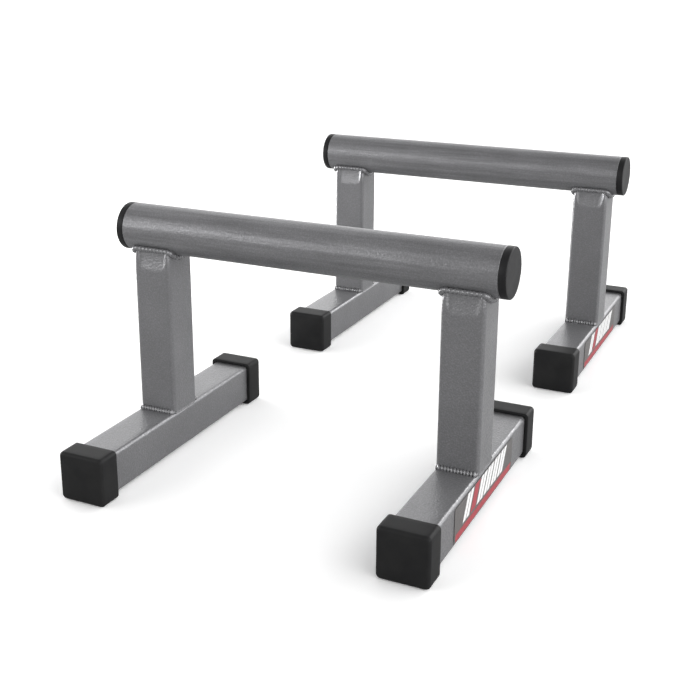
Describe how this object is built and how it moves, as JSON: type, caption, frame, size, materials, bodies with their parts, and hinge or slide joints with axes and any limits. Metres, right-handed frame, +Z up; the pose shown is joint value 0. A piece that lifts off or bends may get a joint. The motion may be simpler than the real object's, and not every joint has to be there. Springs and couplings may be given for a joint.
{
  "type": "parallel bars",
  "caption": "Low free-standing parallel bars: each bar is a round steel grip on square uprights and feet, with moulded rubber boots and end plugs.",
  "frame": {"origin": "on the floor, midway between the two bars and midway between their uprights", "axes": "+Z up, +X along the grips towards the labelled end, +Y from the front bar to the rear bar"},
  "size_m": [0.484, 0.936, 0.31],
  "materials": {
    "powder_coated_steel": "silver-grey textured powder coat, satin",
    "boot_rubber": "moulded black rubber, fine matt",
    "plug_plastic": "moulded black plastic, fine grain",
    "label_vinyl": "printed vinyl film, satin"
  },
  "bodies": {
    "front_bar": {"front_bar_grip_tube": "powder_coated_steel", "front_bar_plug_left": "plug_plastic", "front_bar_upright_left": "powder_coated_steel", "front_bar_grip_weld_left": "powder_coated_steel", "front_bar_foot_left": "powder_coated_steel", "front_bar_foot_weld_left_fore": "powder_coated_steel", "front_bar_boot_left_fore": "boot_rubber", "front_bar_foot_weld_left_aft": "powder_coated_steel", "front_bar_boot_left_aft": "boot_rubber", "front_bar_plug_right": "plug_plastic", "front_bar_upright_right": "powder_coated_steel", "front_bar_grip_weld_right": "powder_coated_steel", "front_bar_foot_right": "powder_coated_steel", "front_bar_foot_weld_right_fore": "powder_coated_steel", "front_bar_boot_right_fore": "boot_rubber", "front_bar_foot_weld_right_aft": "powder_coated_steel", "front_bar_boot_right_aft": "boot_rubber", "front_bar_label": "label_vinyl"},
    "rear_bar": {"rear_bar_grip_tube": "powder_coated_steel", "rear_bar_plug_left": "plug_plastic", "rear_bar_upright_left": "powder_coated_steel", "rear_bar_grip_weld_left": "powder_coated_steel", "rear_bar_foot_left": "powder_coated_steel", "rear_bar_foot_weld_left_fore": "powder_coated_steel", "rear_bar_boot_left_fore": "boot_rubber", "rear_bar_foot_weld_left_aft": "powder_coated_steel", "rear_bar_boot_left_aft": "boot_rubber", "rear_bar_plug_right": "plug_plastic", "rear_bar_upright_right": "powder_coated_steel", "rear_bar_grip_weld_right": "powder_coated_steel", "rear_bar_foot_right": "powder_coated_steel", "rear_bar_foot_weld_right_fore": "powder_coated_steel", "rear_bar_boot_right_fore": "boot_rubber", "rear_bar_foot_weld_right_aft": "powder_coated_steel", "rear_bar_boot_right_aft": "boot_rubber", "rear_bar_label": "label_vinyl"}
  },
  "joints": [
    {"name": "bar_spacing", "type": "slide", "parent": "front_bar", "child": "rear_bar", "axis": [0, 1, 0], "range_m": [-0.18, 0.3]}
  ]
}
